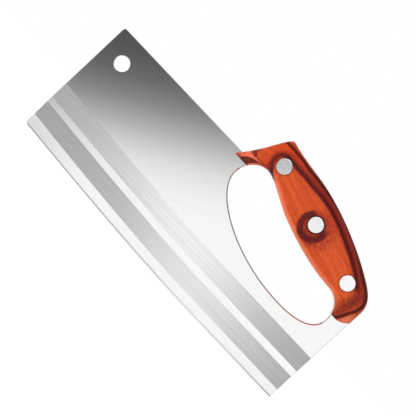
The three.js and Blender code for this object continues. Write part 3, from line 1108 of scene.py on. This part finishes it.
# The softboxes in metres. Across their middle the light runs along a slope, dimmed in one
# corner, and above and below that it stands in upright bars, filled in near the foot. Each
# level or bar is a place and the light there.
CARD_DISTANCE = 0.8
CARD_REACH = 1.6
CARD_LOW = -1.1
CARD_HIGH = 1.3
CARD_STRENGTH = 1.48
CARD_MIDDLE = {"z": -0.02, "edge": (0.17, 0.24)}
CARD_SLOPE = (0.53, 0, -0.848)
SLOPE_REACH = 0.5
SLOPE_LEVELS = [
    (-0.5, 0.42), (-0.35, 0.2), (-0.2, 0.085), (-0.17, 0.09), (-0.147, 0.133),
    (-0.124, 0.24), (-0.1, 0.455), (-0.083, 0.65), (-0.068, 0.795), (-0.05, 0.895),
    (-0.03, 0.95), (0.25, 0.96), (0.5, 0.6),
]
OUTER_LEFT_BARS = [(-1.6, 0.5), (-1.0, 0.25), (-0.6, 0.9)]
OUTER_RIGHT_BARS = [(0.35, 0.0), (0.6, 0.9), (1.0, 0.25), (1.6, 0.5)]
HIGH_BARS = [
    *OUTER_LEFT_BARS, (-0.35, 0.5), (-0.15, 0.4), (-0.08, 0.95), (-0.03, 2.35), (0.01, 2.8),
    (0.05, 1.7), (0.1, 0.3), (0.15, 0.0), *OUTER_RIGHT_BARS,
]
LOW_BARS = [
    *OUTER_LEFT_BARS, (-0.35, 0.0), (-0.15, 0.47), (-0.08, 0.45), (-0.03, 0.1), (0.01, 0.25),
    (0.06, 1.15), (0.11, 0.4), (0.16, 0.0), *OUTER_RIGHT_BARS,
]
DIM_CORNER = {"z": (-0.08, -0.14), "x": (-0.18, -0.1), "level": 0.72}
FOOT_FILL = {"z": (-0.3, -0.5), "level": 0.24}

KEY_PLACE = (-0.55, 0.75, 0.12)
KEY_AIM = (0.03, 0, 0.07)
KEY_SIZE = 0.5
KEY_POWER = 8
WORLD_LIGHT = 0.7
WORLD_SEEN = 1.0


def aim_camera():
    """The photograph's view: square to the blade's flat side, rolled so the spine is high."""
    data = bpy.data.cameras.new("view")
    data.lens = VIEW_LENS
    data.sensor_width = SENSOR_WIDTH
    camera = bpy.data.objects.new("view", data)
    link(camera)
    right = Vector((math.cos(VIEW_ROLL), 0, math.sin(VIEW_ROLL)))
    up = Vector((-math.sin(VIEW_ROLL), 0, math.cos(VIEW_ROLL)))
    turn = Matrix((right, up, Vector((0, -1, 0)))).transposed()
    distance = VIEW_WIDTH * VIEW_LENS / SENSOR_WIDTH
    place = Vector(VIEW_AIM) - Vector((0, distance, 0))
    camera.matrix_world = Matrix.Translation(place) @ turn.to_4x4()
    data.clip_start, data.clip_end = VIEW_CLIP
    bpy.context.scene.camera = camera


def stage_plane(name, corners, material):
    """A flat face of the studio, which isn't part of the object."""
    mesh = bpy.data.meshes.new(name)
    mesh.from_pydata(corners, [], [tuple(range(len(corners)))])
    mesh.materials.append(material)
    plane = bpy.data.objects.new(name, mesh)
    link(plane)
    return plane


def floor_material():
    material, g = new_material("pale_floor")
    base = g.add("BsdfDiffuse", {"Color": grey(FLOOR_COLOUR)})
    glow = g.add("Emission", {"Color": grey(1), "Strength": FLOOR_GLOW})
    g.add_output(g.add("AddShader", {0: base, 1: glow}))
    return material


def floor():
    reach = FLOOR_REACH
    corners = [(-reach, -reach, 0), (reach, -reach, 0), (reach, reach, 0), (-reach, reach, 0)]
    plane = stage_plane("floor", corners, floor_material())
    plane.visible_glossy = False


def card_material():
    """A softbox whose light falls off to a dark corner, so that polished steel shows depth."""
    material, g = new_material("softbox")
    place = g.add("TexCoord", output=3)
    x, z = g.axis(place, 0), g.axis(place, 2)
    slope = g.add("VectorMath", {0: place, 1: CARD_SLOPE}, 1, operation="DOT_PRODUCT")
    near = levelled(g, slope, SLOPE_LEVELS, SLOPE_REACH)
    dimmed = g.step(x, *DIM_CORNER["x"], DIM_CORNER["level"], 1.0)
    near = g.mix(1.0, near, g.step(z, *DIM_CORNER["z"], 1.0, dimmed), "MULTIPLY")
    bars = g.mix(g.math("GREATER_THAN", z, 0.0), levelled(g, x, LOW_BARS, CARD_REACH),
                 levelled(g, x, HIGH_BARS, CARD_REACH))
    away = g.math("ABSOLUTE", g.math("SUBTRACT", z, CARD_MIDDLE["z"]))
    level = g.mix(g.step(away, *CARD_MIDDLE["edge"]), near, bars)
    fill = g.step(z, *FOOT_FILL["z"], 0.0, FOOT_FILL["level"])
    level = g.mix(1.0, level, fill, "LIGHTEN")
    g.add_output(g.add("Emission", {"Color": level, "Strength": CARD_STRENGTH}))
    return material


def levelled(g, place, levels, reach):
    """Grey light levels along a line from -reach to reach."""
    share = g.math("DIVIDE", g.math("ADD", place, reach), 2 * reach)
    stops = [((at + reach) / (2 * reach), grey(level)) for at, level in levels]
    return g.ramp(share, stops)


def softboxes():
    """One on each side of the blade, seen only as light and in reflections."""
    material = card_material()
    corners = [(-CARD_REACH, 0, CARD_LOW), (CARD_REACH, 0, CARD_LOW),
               (CARD_REACH, 0, CARD_HIGH), (-CARD_REACH, 0, CARD_HIGH)]
    for side, name in ((-1, "softbox_front"), (1, "softbox_back")):
        card = stage_plane(name, corners, material)
        card.location = (0, side * CARD_DISTANCE, 0)
        card.visible_camera = False


def key_light(name, side):
    """A soft light in front of the blade's front end, on one side of it."""
    data = bpy.data.lights.new(name, "AREA")
    data.size = KEY_SIZE
    data.energy = KEY_POWER
    light = bpy.data.objects.new(name, data)
    place = Vector((KEY_PLACE[0], side * KEY_PLACE[1], KEY_PLACE[2]))
    light.location = place
    light.rotation_euler = (Vector(KEY_AIM) - place).to_track_quat("-Z", "Y").to_euler()
    light.visible_glossy = False
    light.visible_camera = False
    link(light)


def studio():
    """A white surround, which lights less than it shows, and a soft light on each side."""
    world = bpy.data.worlds.new("studio")
    bpy.context.scene.world = world
    world.use_nodes = True
    g = Graph(world.node_tree)
    seen = g.add("LightPath")
    strength = g.add("MapRange", {0: seen, 1: 0, 2: 1, 3: WORLD_LIGHT, 4: WORLD_SEEN})
    background = g.add("Background", {"Color": grey(1), "Strength": strength})
    node = g.tree.nodes.new("ShaderNodeOutputWorld")
    g.tree.links.new(background, node.inputs["Surface"])
    key_light("key_front", -1)
    key_light("key_back", 1)
    bpy.context.scene.view_settings.view_transform = "Standard"


# ------------ assembly

aim_camera()
floor()
softboxes()
studio()

blade([polished_steel(), brushed_steel("upper_band", **UPPER_BRUSH),
       brushed_steel("lower_band", **LOWER_BRUSH), bright_steel()])
wood = grip_wood()
grip_scale("grip_front", "grip_scale_front", -1, wood)
grip_scale("grip_back", "grip_scale_back", 1, wood)
steel = rivet_steel()
for number, centre in enumerate(rivet_centres(), 1):
    rivet_half(f"rivet_head_front_{number}", f"rivet_socket_{number}", socket_profile(),
               centre, steel)
    rivet_half(f"rivet_head_back_{number}", f"rivet_pin_{number}", pin_profile(), centre,
               steel)
